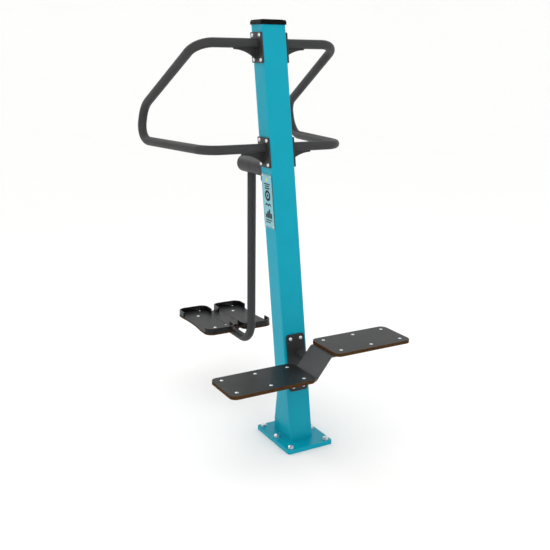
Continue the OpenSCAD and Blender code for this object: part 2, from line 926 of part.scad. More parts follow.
// Information plate on the left face, its sides leaning with the post
module sign_plate() {
  corner_r = 6;
  h = sign_h / 2;
  w = sign_w / 2;
  color(plate_print)
    on_side(-1)
      difference() {
        rounded_plate([
          [post_y(sign_z - h) - w, sign_z - h],
          [post_y(sign_z - h) + w, sign_z - h],
          [post_y(sign_z + h) + w, sign_z + h],
          [post_y(sign_z + h) - w, sign_z + h]
        ], corner_r, sign_t);
        for (p = rivets_yz)
          translate([p[0], p[1], -past])
            cylinder(d=rivet_d + 2 * fit_gap, h=sign_t + 2 * past);
      }
}

// Rivets of the information plate
module sign_rivets() {
  color(bright_steel)
    on_side(-1)
      for (p = rivets_yz)
        translate([p[0], p[1], sign_t]) {
          dome(rivet_head_d, rivet_head_h);
          translate([0, 0, -rivet_l - sign_t])
            cylinder(d=rivet_d, h=rivet_l + sign_t);
        }
}

// Hub flange on the post's back face
module hub_flange() {
  color(plate_grey)
    on_back(hub_z)
      difference() {
        rounded_block(post_w, hub_flange_h, flange_t, post_r);
        four(hub_bolt_dx, hub_bolt_dz)
          flange_hole();
      }
}

// Bolts of the hub flange
module hub_flange_bolts() {
  color(bright_steel)
    on_back(hub_z)
      four(hub_bolt_dx, hub_bolt_dz)
        translate([0, 0, flange_t])
          flange_bolt();
}

// Fixed sleeve from the leaning flange to the stop disc
module hub_fixed_sleeve() {
  color(dark_grey)
    difference() {
      hub_ring(back_y(hub_z) - hub_d / 4, fixed_end_y, hub_d, hub_d - 2 * hub_wall);
      on_back(hub_z)
        below_face(flange_t);
    }
}

// Stop disc with the arc slot for the stop pin
module hub_stop_disc() {
  color(dark_grey)
    difference() {
      hub_ring(fixed_end_y, disc_end_y, hub_d, axle_d + 2 * fit_gap);
      stop_frame(-slot_half_angle)
        rotate_extrude(angle=2 * slot_half_angle)
          translate([stop_r - slot_w / 2, -slot_depth])
            square([slot_w, slot_depth + past]);
    }
}

// Rubber buffers in both ends of the slot
module stop_buffers() {
  color(black_plastic)
    for (start = [-slot_half_angle, slot_half_angle - buffer_angle])
      stop_frame(start)
        rotate_extrude(angle=buffer_angle)
          translate([stop_r - slot_w / 2 + fit_gap, -slot_depth])
            square([slot_w - 2 * fit_gap, slot_depth]);
}

// Axle, welded to the flange
module hub_axle() {
  color(bright_steel)
    difference() {
      hub_bar(back_y(hub_z) - axle_d / 2, axle_end_y, axle_d);
      on_back(hub_z)
        below_face(flange_t);
    }
}

// Collar between the stop disc and the front bearing
module hub_collar() {
  color(bright_steel)
    hub_ring(disc_end_y, front_bearing_y, hub_core_d, axle_d + 2 * fit_gap);
}

// The track that the balls of one bearing run in
module ball_track(y) {
  translate([0, y + bearing_w / 2, hub_z])
    rotate([-90, 0, 0])
      rotate_extrude()
        translate([ball_pitch_r, 0])
          circle(r=groove_r);
}

// Inner rings of both bearings
module bearing_inner_rings() {
  color(bright_steel)
    for (y = bearings_y)
      difference() {
        hub_ring(y, y + bearing_w, axle_d + 2 * ring_wall, axle_d + 2 * fit_gap);
        ball_track(y);
      }
}

// Balls of both bearings
module bearing_balls() {
  color(bright_steel)
    for (y = bearings_y, i = [0:ball_count - 1])
      translate([0, y + bearing_w / 2, hub_z])
        rotate([0, i * 360 / ball_count, 0])
          translate([ball_pitch_r, 0, 0])
            sphere(r=ball_r);
}

// Spacer tube between the inner rings
module hub_spacer() {
  color(bright_steel)
    hub_ring(front_bearing_y + bearing_w, rear_bearing_y, hub_core_d, axle_d + 2 * fit_gap);
}

// Washer behind the rear bearing
module hub_washer() {
  color(bright_steel)
    hub_ring(bearing_end_y, washer_end_y, hub_washer_d, axle_d + 2 * fit_gap);
}

// Nut that holds both bearings on the axle
module hub_nut() {
  color(bright_steel)
    translate([0, washer_end_y, hub_z])
      rotate([-90, 0, 0])
        nut(hub_nut_af, hub_nut_h, axle_d + 2 * fit_gap);
}

// Stepper flange on the post's front face
module step_flange() {
  corner_r = 14;
  color(plate_grey)
    on_front(step_flange_z)
      difference() {
        rounded_block(step_flange_w, step_flange_h, flange_t, corner_r);
        four(step_flange_dx, step_flange_dz)
          flange_hole();
      }
}

// Bolts of the stepper flange
module step_flange_bolts() {
  color(bright_steel)
    on_front(step_flange_z)
      four(step_flange_dx, step_flange_dz)
        translate([0, 0, flange_t])
          flange_bolt();
}

// Round bar along the arm's axis
module arm_bar(y0, y1, d) {
  translate([arm_x, y0, arm_z])
    rotate([-90, 0, 0])
      cylinder(d=d, h=y1 - y0);
}

// Arm tube from the leaning flange forwards, touching the slope's underside
module step_arm() {
  color(dark_grey)
    difference() {
      arm_bar(arm_end_y, front_y(arm_z) + arm_d / 2, arm_d);
      arm_bar(arm_end_y - past, front_y(arm_z) + arm_d, arm_d - 2 * arm_wall);
      on_front(arm_z)
        below_face(flange_t);
    }
}

// Disc that closes the arm's front end
module step_arm_plug() {
  color(dark_grey)
    arm_bar(arm_end_y - arm_plug_t, arm_end_y, arm_d);
}

// The carrier's bent sheet, as deep as w
module carrier_sheet(w) {
  translate([0, step_y + carrier_shift, 0])
    bent_sheet(carrier_path, carrier_bend_r, carrier_t, w);
}

// Drills one upright hole at each board bolt on one side, from z0 up to z1
module step_bolt_holes(side, z0, z1) {
  for (x = step_bolts_x, y = step_bolts_y)
    translate([side * x, y, z0])
      cylinder(d=board_bolt_d + 2 * bolt_gap, h=z1 - z0);
}

// Bent carrier plate: level, sloping, level
module step_carrier() {
  color(plate_grey)
    difference() {
      carrier_sheet(carrier_l);
      step_bolt_holes(-1, lower_mid_z - step_t, lower_mid_z + step_t);
      step_bolt_holes(1, upper_mid_z - step_t, upper_mid_z + step_t);
    }
}

// Two ribs under the carrier plate, with a hole for the arm
module step_ribs() {
  color(plate_grey)
    difference() {
      for (y = [rear_rib_y, front_rib_y])
        translate([0, y + rib_t / 2, 0])
          rotate([90, 0, 0])
            linear_extrude(rib_t)
              polygon(rib_outline);
      carrier_sheet(step_l);
      arm_bar(arm_end_y - past, front_y(arm_z), arm_d + 2 * fit_gap);
    }
}

// Stepping board with six bolt holes; side is -1 for the lower and 1 for the upper one
module step_board(side, top_z) {
  color(board_grey)
    difference() {
      translate([side * (step_inner_x + step_w / 2), step_y, top_z - step_t])
        rounded_block(step_w, step_l, step_t, step_r);
      step_bolt_holes(side, top_z - step_t - past, top_z + past);
    }
}

// Copies a piece to the twelve board bolts, under or over both boards
module at_step_bolts(drop) {
  for (side = [-1, 1], x = step_bolts_x, y = step_bolts_y)
    translate([side * x, y, (side < 0 ? lower_step_z : upper_step_z) - drop])
      children();
}

// Bolts of both stepping boards
module step_board_bolts() {
  color(bright_steel)
    at_step_bolts(0)
      board_bolt(step_t + carrier_t);
}

// Nuts under the carrier plate
module step_board_nuts() {
  color(bright_steel)
    at_step_bolts(step_t + carrier_t + board_nut_h)
      nut(board_nut_af, board_nut_h, board_bolt_d + 2 * fit_gap);
}

// Swinging sleeve: a lip in front, two bearing seats, and a bore for the end cap
module swing_sleeve() {
  color(dark_grey)
    difference() {
      hub_bar(sleeve_y, sleeve_end_y, hub_d);
      hub_bar(sleeve_y - past, sleeve_end_y, sleeve_lip_bore);
      hub_bar(front_bearing_y, front_bearing_y + bearing_w, bearing_d + 2 * fit_gap);
      hub_bar(front_bearing_y, sleeve_end_y, sleeve_bore);
      hub_bar(rear_bearing_y, sleeve_end_y + past, bearing_d + 2 * fit_gap);
      stop_frame(0)
        translate([stop_r, 0, 0])
          cylinder(d=stop_pin_d + 2 * fit_gap, h=running_gap + stop_pin_seat);
    }
}

// Outer rings of both bearings
module bearing_outer_rings() {
  color(bright_steel)
    for (y = bearings_y)
      difference() {
        hub_ring(y, y + bearing_w, bearing_d, bearing_d - 2 * ring_wall);
        ball_track(y);
      }
}

// Stop pin in the sleeve's lip; its free end runs in the slot
module stop_pin() {
  color(bright_steel)
    stop_frame(0)
      translate([stop_r, 0, -stop_pin_reach])
        cylinder(d=stop_pin_d, h=stop_pin_reach + running_gap + stop_pin_seat);
}

// End cap with a skirt that holds the rear bearing in
module hub_end_cap() {
  color(dark_grey) {
    hub_bar(sleeve_end_y, sleeve_end_y + end_cap_t, hub_d);
    hub_ring(bearing_end_y, sleeve_end_y, bearing_d, sleeve_bore);
  }
}

// Swing tube: down from the sleeve, round one bend and back under the foot board
module swing_tube() {
  color(dark_grey)
    difference() {
      bent_tube(swing_path, swing_bend_r, tube_d, tube_wall);
      hub_bar(sleeve_y - past, sleeve_end_y + past, hub_d + 2 * fit_gap);
    }
}

// Plug in the rear end of the swing tube
module swing_tube_plug() {
  disc_t = 3;
  spigot_l = 15;
  color(black_plastic)
    translate([0, swing_end_y, swing_run_z])
      rotate([-90, 0, 0]) {
        cylinder(d=tube_d, h=disc_t);
        translate([0, 0, -spigot_l])
          cylinder(d=tube_d - 2 * tube_wall - 2 * fit_gap, h=spigot_l);
      }
}

// Upright holes for the foot board's bolts
module foot_bolt_holes() {
  for (p = foot_bolts_xy)
    translate([p[0], p[1], foot_carrier_z - past])
      cylinder(d=board_bolt_d + 2 * bolt_gap, h=foot_top_z - foot_carrier_z + 2 * past);
}

// Carrier plate on the swing tube, under the foot board
module foot_carrier() {
  corner_r = 15;
  color(plate_grey)
    difference() {
      translate([0, (foot_carrier_front_y + swing_end_y) / 2, foot_carrier_z])
        rounded_block(foot_carrier_w, swing_end_y - foot_carrier_front_y, foot_carrier_t, corner_r);
      foot_bolt_holes();
    }
}

// Two ribs across the swing tube, under the carrier plate
module foot_ribs() {
  tip_h = 8;
  color(plate_grey)
    difference() {
      for (y = foot_ribs_y)
        translate([0, y + foot_rib_t / 2, foot_carrier_z])
          rotate([90, 0, 0])
            linear_extrude(foot_rib_t)
              polygon([
                [-foot_rib_w / 2, 0],
                [-foot_rib_w / 2, -tip_h],
                [-tube_d, -foot_rib_h],
                [tube_d, -foot_rib_h],
                [foot_rib_w / 2, -tip_h],
                [foot_rib_w / 2, 0]
              ]);
      translate([0, foot_front_y, swing_run_z])
        rotate([-90, 0, 0])
          cylinder(d=tube_d + 2 * fit_gap, h=swing_end_y - foot_front_y);
    }
}

// One lobe of the foot board, drawn in by inset; end is -1 at the front and 1 at the rear
module lobe(side, end, inset, h) {
  inner_x = (end < 0 ? front_notch_w : rear_notch_w) / 2;
  w = foot_w / 2 - inner_x;
  edge_y = end < 0 ? foot_front_y : foot_rear_y;
  translate([side * (inner_x + w / 2), edge_y - end * lobe_l / 2, 0])
    rounded_block(w - 2 * inset, lobe_l - 2 * inset, h, foot_r - inset);
}

// Foot board: four lobes round two notches, a waist on each side and two grooves
module foot_board() {
  body_y = foot_front_y + front_notch_l - front_notch_w / 2;
  color(board_grey)
    difference() {
      translate([0, 0, foot_z]) {
        for (side = [-1, 1], end = [-1, 1])
          lobe(side, end, 0, foot_t);
        translate([-foot_w / 2, body_y, 0])
          cube([foot_w, foot_rear_y - rear_notch_l - body_y, foot_t]);
      }
      translate([0, body_y, foot_z - past])
        cylinder(d=front_notch_w, h=foot_t + 2 * past);
      for (side = [-1, 1])
        translate([side * (foot_w / 2 - foot_waist + foot_waist_r), foot_waist_y, foot_z - past])
          cylinder(r=foot_waist_r, h=foot_t + 2 * past, $fn=360);
      for (p = treads_xy)
        translate([p[0] - tread_w / 2, p[1], foot_top_z - tread_depth])
          cube([tread_w, tread_l, tread_depth + past]);
      foot_bolt_holes();
      screw_holes(concat(rim_screws_xy, board_screws_xy), foot_top_z);
    }
}

// Screw holes below z and through whatever stands above it
module screw_holes(places, z) {
  for (p = places)
    translate([p[0], p[1], z - screw_l - past])
      cylinder(d=screw_d + 2 * fit_gap, h=screw_l + tab_t + 3 * past);
}

// Shoe rim: an upright strip round the end of one lobe, with a screwed tab inside
module shoe_rim(side, end) {
  l = end < 0 ? front_rim_l : rear_rim_l;
  edge_y = end < 0 ? foot_front_y : foot_rear_y;
  tab_start_y = edge_y - end * (rim_inset + rim_t / 2);
  color(plate_grey)
    translate([0, 0, foot_top_z])
      difference() {
        union() {
          difference() {
            lobe(side, end, rim_inset, rim_h);
            translate([0, 0, -past])
              lobe(side, end, rim_inset + rim_t, rim_h + 2 * past);
            translate([-foot_w, edge_y - end * l - (end < 0 ? 0 : lobe_l), -past])
              cube([2 * foot_w, lobe_l, rim_h + 2 * past]);
          }
          translate([rim_tab_x(side, end) - tab_w / 2, tab_start_y - (end < 0 ? 0 : tab_l), 0])
            cube([tab_w, tab_l, tab_t]);
        }
        screw_holes([[rim_tab_x(side, end), edge_y - end * tab_screw_l]], 0);
      }
}

// Bolts through the foot board and its carrier plate
module foot_board_bolts() {
  color(bright_steel)
    for (p = foot_bolts_xy)
      translate([p[0], p[1], foot_top_z])
        board_bolt(foot_t + foot_carrier_t);
}

// Nuts under the foot carrier plate
module foot_board_nuts() {
  color(bright_steel)
    for (p = foot_bolts_xy)
      translate([p[0], p[1], foot_carrier_z - board_nut_h])
        nut(board_nut_af, board_nut_h, board_bolt_d + 2 * fit_gap);
}

// Screws of the rims' tabs and of the foot board's front edge
module rim_screws() {
  color(bright_steel)
    for (p = concat(
      [for (q = rim_screws_xy) [q[0], q[1], tab_t]],
      [for (q = board_screws_xy) [q[0], q[1], 0]]
    ))
      translate([p[0], p[1], foot_top_z + p[2]]) {
        dome(screw_head_d, screw_head_h);
        translate([0, 0, -screw_l - p[2]])
          cylinder(d=screw_d, h=screw_l + p[2]);
      }
}

base_plate();
post_tube();
foot_gusset(-1);  // left_foot_gusset
foot_gusset(1);  // right_foot_gusset
top_cap();
anchor_washers();
anchor_nuts();
post_inserts();
handle_tube(-1);  // left_handle_tube
handle_tube(1);  // right_handle_tube
handle_flange(-1, upper_flange_z);  // left_upper_flange
handle_flange(1, upper_flange_z);  // right_upper_flange
handle_flange(-1, lower_flange_z);  // left_lower_flange
handle_flange(1, lower_flange_z);  // right_lower_flange
handle_gusset(-1, upper_bar_z);  // left_upper_gusset
handle_gusset(1, upper_bar_z);  // right_upper_gusset
handle_gusset(-1, lower_bar_z);  // left_lower_gusset
handle_gusset(1, lower_bar_z);  // right_lower_gusset
handle_bolts();
sign_plate();
sign_rivets();
hub_flange();
hub_flange_bolts();
hub_fixed_sleeve();
hub_stop_disc();
stop_buffers();
hub_axle();
hub_collar();
bearing_inner_rings();
bearing_balls();
hub_spacer();
hub_washer();
hub_nut();
step_flange();
step_flange_bolts();
step_arm();
step_arm_plug();
step_carrier();
step_ribs();
step_board(-1, lower_step_z);  // lower_step_board
step_board(1, upper_step_z);  // upper_step_board
step_board_bolts();
step_board_nuts();
swing_sleeve();
bearing_outer_rings();
stop_pin();
hub_end_cap();
swing_tube();
swing_tube_plug();
foot_carrier();
foot_ribs();
foot_board();
shoe_rim(-1, 1);  // left_rear_rim
shoe_rim(1, 1);  // right_rear_rim
shoe_rim(-1, -1);  // left_front_rim
shoe_rim(1, -1);  // right_front_rim
foot_board_bolts();
foot_board_nuts();
rim_screws();
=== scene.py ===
import json
from math import cos, pi, radians, sin, tan
import bmesh
import bpy
from mathutils import Matrix, Quaternion, Vector

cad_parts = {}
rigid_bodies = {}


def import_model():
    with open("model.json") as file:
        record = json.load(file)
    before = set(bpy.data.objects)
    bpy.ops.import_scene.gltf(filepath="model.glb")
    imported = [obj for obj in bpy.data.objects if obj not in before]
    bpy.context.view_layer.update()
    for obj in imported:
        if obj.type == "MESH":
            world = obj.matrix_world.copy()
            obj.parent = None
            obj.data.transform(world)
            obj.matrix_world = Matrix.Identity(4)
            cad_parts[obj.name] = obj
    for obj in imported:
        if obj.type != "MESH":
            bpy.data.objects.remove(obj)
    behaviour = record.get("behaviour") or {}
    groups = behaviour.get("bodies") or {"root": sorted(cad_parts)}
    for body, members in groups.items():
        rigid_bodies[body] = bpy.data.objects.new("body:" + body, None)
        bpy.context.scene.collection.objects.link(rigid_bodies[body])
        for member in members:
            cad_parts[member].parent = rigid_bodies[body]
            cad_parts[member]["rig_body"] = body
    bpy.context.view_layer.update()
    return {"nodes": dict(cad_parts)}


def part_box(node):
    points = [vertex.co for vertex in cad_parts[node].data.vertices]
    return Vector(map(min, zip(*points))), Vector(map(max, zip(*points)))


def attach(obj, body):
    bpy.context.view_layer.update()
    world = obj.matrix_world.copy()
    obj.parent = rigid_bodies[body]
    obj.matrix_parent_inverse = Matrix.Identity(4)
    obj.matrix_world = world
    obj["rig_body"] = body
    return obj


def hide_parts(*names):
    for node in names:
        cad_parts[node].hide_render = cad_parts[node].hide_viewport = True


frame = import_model()


# Camera. It stands in front of the station, to its left, at about the height of the upper bars, and
# looks down on the boards with a moderately long lens. Its depth of field is off.
camera_place = Vector((-1.804, -2.9773, 1.7482))
camera_turn, camera_pitch, camera_roll = radians(29.58), radians(15.21), radians(0.62)
camera_lens = 51.9

camera_data = bpy.data.cameras.new("camera")
camera_data.sensor_width = 36
camera_data.lens = camera_lens
camera = bpy.data.objects.new("camera", camera_data)
bpy.context.scene.collection.objects.link(camera)
sight = Vector((
    sin(camera_turn) * cos(camera_pitch), cos(camera_turn) * cos(camera_pitch), -sin(camera_pitch)))
camera.rotation_mode = "QUATERNION"
camera.rotation_quaternion = sight.to_track_quat("-Z", "Y") @ Quaternion((0, 0, 1), camera_roll)
camera.location = camera_place
bpy.context.scene.camera = camera


# Floor and light. A plain pale studio floor that curves up into a round cove far from the station, a
# bright even surround, and large soft lamps: one over the camera's left shoulder, one from the right and
# one from behind. Colours are shown as they are, without a film's curve.
floor_colours = "#FFFFFE", "#FDFDFC"
surround_colour = "#FFFFFF"
surround_strength = 1.0
floor_radius, cove_radius = 14, 8
bpy.context.scene.view_settings.view_transform = "Standard"


def linear(colour):
    """Turns an sRGB hex colour into the linear values that a shader takes."""
    parts = [int(colour[i:i + 2], 16) / 255 for i in (1, 3, 5)]
    return [c / 12.92 if c <= 0.04045 else ((c + 0.055) / 1.055) ** 2.4 for c in parts] + [1]


def add(tree, kind, settings, inputs):
    """Adds a node. Its inputs, by name or number, get a value or a link from another node's output."""
    node = tree.nodes.new(kind)
    for name, value in settings.items():
        setattr(node, name, value)
    for key, value in inputs.items():
        if isinstance(value, bpy.types.NodeSocket):
            tree.links.new(value, node.inputs[key])
        else:
            node.inputs[key].default_value = value
    return node


def new_material(name, roughness, metallic=0.0, ior=1.5, gloss=0.5):
    """Starts a material and gives its node tree, its shader and the piece's own coordinates in metres."""
    material = bpy.data.materials.new(name)
    material.use_nodes = True
    tree = material.node_tree
    shader = tree.nodes["Principled BSDF"]
    shader.inputs["Roughness"].default_value = roughness
    shader.inputs["Metallic"].default_value = metallic
    if metallic == 0:
        shader.inputs["IOR"].default_value = ior
        shader.inputs["Specular IOR Level"].default_value = gloss
    place = tree.nodes.new("ShaderNodeTexCoord").outputs["Object"]
    return material, tree, shader, place


def link(name, mesh):
    """Makes an object of a finished mesh."""
    piece = bpy.data.objects.new(name, mesh)
    bpy.context.scene.collection.objects.link(piece)
    return piece


studio_floor, floor_tree, floor_shader, floor_place = new_material("matt_studio_floor", 0.9)
floor_cloud = add(floor_tree, "ShaderNodeTexNoise", {}, {"Vector": floor_place, "Scale": 0.6, "Detail": 2})
floor_tint = add(floor_tree, "ShaderNodeMix", {"data_type": "RGBA"}, {
    0: floor_cloud.outputs[0], 6: linear(floor_colours[0]), 7: linear(floor_colours[1])})
floor_tree.links.new(floor_tint.outputs[2], floor_shader.inputs["Base Color"])

floor_shape = bmesh.new()
start = floor_shape.verts.new((0, 0, 0))
foot = floor_shape.verts.new((floor_radius, 0, 0))
floor_shape.edges.new((start, foot))
bmesh.ops.spin(
    floor_shape, geom=[foot], cent=(floor_radius, 0, cove_radius), axis=(0, -1, 0), angle=pi / 2, steps=12)
bmesh.ops.spin(
    floor_shape, geom=floor_shape.verts[:] + floor_shape.edges[:], cent=(0, 0, 0), axis=(0, 0, 1),
    angle=2 * pi, steps=96, use_merge=True)
bmesh.ops.remove_doubles(floor_shape, verts=floor_shape.verts, dist=0.001)
bmesh.ops.recalc_face_normals(floor_shape, faces=floor_shape.faces)
floor_mesh = bpy.data.meshes.new("floor")
floor_shape.to_mesh(floor_mesh)
floor_shape.free()
floor_mesh.materials.append(studio_floor)
floor_mesh.shade_smooth()
link("floor", floor_mesh)

surround = bpy.data.worlds.new("surround")
surround.use_nodes = True
surround.node_tree.nodes["Background"].inputs["Color"].default_value = linear(surround_colour)
surround.node_tree.nodes["Background"].inputs["Strength"].default_value = surround_strength
bpy.context.scene.world = surround

for lamp_name, lamp_place, lamp_aim, lamp_size, lamp_watts in (
    ("lamp_left", (-2.6, -2.4, 3.6), (0, 0, 1.2), 2.4, 26),
    ("lamp_right", (3.2, -2.2, 2.6), (0, 0, 1.0), 1.8, 10),
    ("lamp_back", (-0.6, 3.6, 3.2), (0, 0, 1.2), 1.6, 20),
):
    lamp_data = bpy.data.lights.new(lamp_name, "AREA")
    lamp_data.shape = "DISK"
    lamp_data.size = lamp_size
    lamp_data.energy = lamp_watts
    lamp = bpy.data.objects.new(lamp_name, lamp_data)
    lamp.location = lamp_place
    lamp.rotation_mode = "QUATERNION"
    lamp.rotation_quaternion = (Vector(lamp_aim) - Vector(lamp_place)).to_track_quat("-Z", "Y")
    bpy.context.scene.collection.objects.link(lamp)


# Base plate and foot gussets. Hot-cut steel plate, blast-cleaned, welded to the post and powder coated
# in one go, so every edge is soft and slightly rounded by the coat.
plate_round, gusset_round = 1.2, 0.8
merge_within = 0.000003
flat_below, round_above = radians(0.3), radians(35)


def powder_coat(name, colours, roughness, gloss, texture_mm, texture_depth_mm):
    """Powder coat: a baked polyester skin with the fine skin-of-an-orange texture that it levels to, and
    a tone that drifts a little over a hand's width."""
    material, tree, shader, place = new_material(name, roughness, gloss=gloss)
    drift = add(tree, "ShaderNodeTexNoise", {}, {"Vector": place, "Scale": 1000 / 120, "Detail": 3})
    tint = add(tree, "ShaderNodeMix", {"data_type": "RGBA"}, {
        0: drift.outputs[0], 6: linear(colours[0]), 7: linear(colours[1])})
    tree.links.new(tint.outputs[2], shader.inputs["Base Color"])
    peel = add(tree, "ShaderNodeTexNoise", {}, {"Vector": place, "Scale": 1000 / texture_mm, "Detail": 2})
    sheen = add(tree, "ShaderNodeMapRange", {}, {
        "Value": peel.outputs[0], "To Min": roughness - 0.06, "To Max": roughness + 0.06})
    tree.links.new(sheen.outputs[0], shader.inputs["Roughness"])
    bump = add(tree, "ShaderNodeBump", {}, {
        "Height": peel.outputs[0], "Distance": texture_depth_mm / 1000, "Strength": 0.6})
    tree.links.new(bump.outputs[0], shader.inputs["Normal"])
    return material


def finish_mesh(piece, materials, smooth_below, even=False):
    """Gives a piece its materials and smooth shading, with hard lines where faces meet more sharply."""
    for material in materials:
        piece.data.materials.append(material)
    piece.data.shade_smooth()
    piece.data.set_sharp_from_angle(angle=radians(smooth_below))
    if even:
        piece.modifiers.new("even_shading", "WEIGHTED_NORMAL").keep_sharp = True


def dressed(node, name, material, round_mm=0.0, edge_material=None, flat_axis=2):
    """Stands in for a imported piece: a copy with its triangles joined and its outer edges rounded. With an
    edge material, faces that don't look along the flat axis, upright unless another is given, take it."""
    source = frame["nodes"][node]
    shape = bmesh.new()
    shape.from_mesh(source.data)
    bmesh.ops.remove_doubles(shape, verts=shape.verts, dist=merge_within)
    bmesh.ops.dissolve_limit(shape, angle_limit=flat_below, verts=shape.verts, edges=shape.edges)
    if round_mm:
        outer = [e for e in shape.edges if e.is_manifold and e.calc_face_angle_signed(0) > round_above]
        bmesh.ops.bevel(
            shape, geom=outer, offset=round_mm / 1000, offset_type="OFFSET", segments=2, profile=0.5,
            affect="EDGES", clamp_overlap=True, material=-1)
    if edge_material:
        shape.normal_update()
        for face in shape.faces:
            face.material_index = int(abs(face.normal[flat_axis]) < 0.9)
    mesh = bpy.data.meshes.new(name)
    shape.to_mesh(mesh)
    shape.free()
    piece = link(name, mesh)
    materials = [material, edge_material] if edge_material else [material]
    finish_mesh(piece, materials, smooth_below=50 if round_mm else 32, even=bool(round_mm))
    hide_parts(node)
    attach(piece, source["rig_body"])


teal_coat = powder_coat("teal_powder_coat", ("#009DB4", "#0095AB"), 0.24, 0.15, 3.0, 0.02)
dressed("base_plate", "base_plate_coated", teal_coat, plate_round)
for side in ("left", "right"):
    dressed(f"{side}_foot_gusset", f"{side}_foot_gusset_coated", teal_coat, gusset_round)


# Post. Rectangular hollow steel section with small round corners, cut on the slant, welded to the plate
# all round, then blast-cleaned and coated with it. The weld beads are strings of ripples under the coat.
post_lean = radians(9.2)
post_foot_y = -0.0195
post_half_x, post_half_y = 0.060, 0.052 / cos(post_lean)
post_corner = 0.006
post_bead_mm = 3.5
bead_lift, ring_lift, bead_inset = 0.0006, 0.0008, 0.004
foot_gusset_outer, foot_gusset_inner = 0.048, 0.040
foot_gusset_top, foot_gusset_length = 0.250, 0.068
plate_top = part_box("base_plate")[1].z


def post_y(z):
    """Y of the post's centre line at height z."""
    return post_foot_y + z * tan(post_lean)


dressed("post_tube", "post_coated", teal_coat, round_mm=0.4)


def ripples(points, closed, step):
    """Points at even steps along a line, where the weld pool froze one ripple after another."""
    corners = [Vector(p) for p in points]
    if closed:
        corners.append(corners[0])
    spots = []
    for a, b in zip(corners, corners[1:]):
        count = max(1, round((b - a).length / step))
        spots += [a.lerp(b, i / count) for i in range(count)]
    return spots if closed else spots + [corners[-1]]


def weld(name, lines, bead_mm, material, body):
    """Weld beads along lines of points, each an uneven half-round string of ripples, coated over."""
    radius, ripple = bead_mm / 2000, bead_mm / 2200
    bead = bpy.data.curves.new(name, "CURVE")
    bead.dimensions = "3D"
    bead.bevel_depth = radius
    bead.bevel_resolution = 1
    bead.use_fill_caps = True
    for points, closed in lines:
        spots = ripples(points, closed, ripple)
        spline = bead.splines.new("POLY")
        spline.points.add(len(spots) - 1)
        spline.use_cyclic_u = closed
        for i, (point, spot) in enumerate(zip(spline.points, spots)):
            point.co = (*spot, 1)
            point.radius = 1 + 0.10 * cos(i * pi / 2) + 0.05 * sin(i * 0.37)
    drawn = link(name + "_line", bead)
    solid = drawn.evaluated_get(bpy.context.evaluated_depsgraph_get())
    piece = link(name, bpy.data.meshes.new_from_object(solid))
    bpy.data.objects.remove(drawn)
    piece.data.materials.clear()
    finish_mesh(piece, [material], 80)
    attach(piece, body)


def corner_arc(x, y, start, r):
    """Five points round a quarter circle."""
    return [(x + r * cos(start + i * pi / 8), y + r * sin(start + i * pi / 8)) for i in range(5)]


foot_line = []
for corner, (sx, sy) in enumerate(((1, 1), (-1, 1), (-1, -1), (1, -1))):
    centre = sx * (post_half_x - post_corner), sy * (post_half_y - post_corner) + post_y(plate_top)
    arc = corner_arc(*centre, corner * pi / 2, post_corner + bead_lift)
    foot_line += [(*point, plate_top + ring_lift) for point in arc]
gusset_lines = []
for x in (
    -foot_gusset_outer - bead_lift, bead_lift - foot_gusset_inner,
    foot_gusset_inner - bead_lift, foot_gusset_outer + bead_lift,
):
    foot_back = post_y(plate_top) + post_half_y
    gusset_lines += [
        ([(x, post_y(z) + post_half_y + bead_lift, z)
          for z in (plate_top + bead_inset, foot_gusset_top - bead_inset)], False),
        ([(x, y, plate_top + bead_lift)
          for y in (foot_back + bead_inset, foot_back + foot_gusset_length - bead_inset)], False),
    ]
weld("post_foot_weld", [(foot_line, True)] + gusset_lines, post_bead_mm, teal_coat, "stand")


# Top cap. Injection-moulded black polyethylene, pushed into the open post, with a fine spark-eroded
# grain and edges rounded in the mould.
cap_plastic, cap_tree, cap_shader, cap_place = new_material(
    "moulded_black_polyethylene", 0.42, ior=1.51, gloss=0.08)
cap_shader.inputs["Base Color"].default_value = linear("#030303")
cap_grain = add(cap_tree, "ShaderNodeTexNoise", {}, {"Vector": cap_place, "Scale": 1000 / 1.5, "Detail": 2})
cap_sheen = add(cap_tree, "ShaderNodeMapRange", {}, {
    "Value": cap_grain.outputs[0], "To Min": 0.34, "To Max": 0.5})
cap_tree.links.new(cap_sheen.outputs[0], cap_shader.inputs["Roughness"])
cap_bump = add(cap_tree, "ShaderNodeBump", {}, {
    "Height": cap_grain.outputs[0], "Distance": 0.00004, "Strength": 0.5})
cap_tree.links.new(cap_bump.outputs[0], cap_shader.inputs["Normal"])
dressed("top_cap", "top_cap_moulded", cap_plastic, round_mm=1.5)


# Handles. 42.4 mm round steel tube, bent cold on a draw bender, welded at both ends to laser-cut flange
# plates with a curved gusset under each end, and coated dark grey. Each flange takes four domed screws.
tube_radius = 0.0212
flange_face = 0.068
upper_bar, lower_bar = 1.817, 1.359
gusset_length, gusset_depth, gusset_half = 0.112, 0.049, 0.004
seam_sink, seam_gap = 0.0004, 0.003
handle_bead_mm = 5

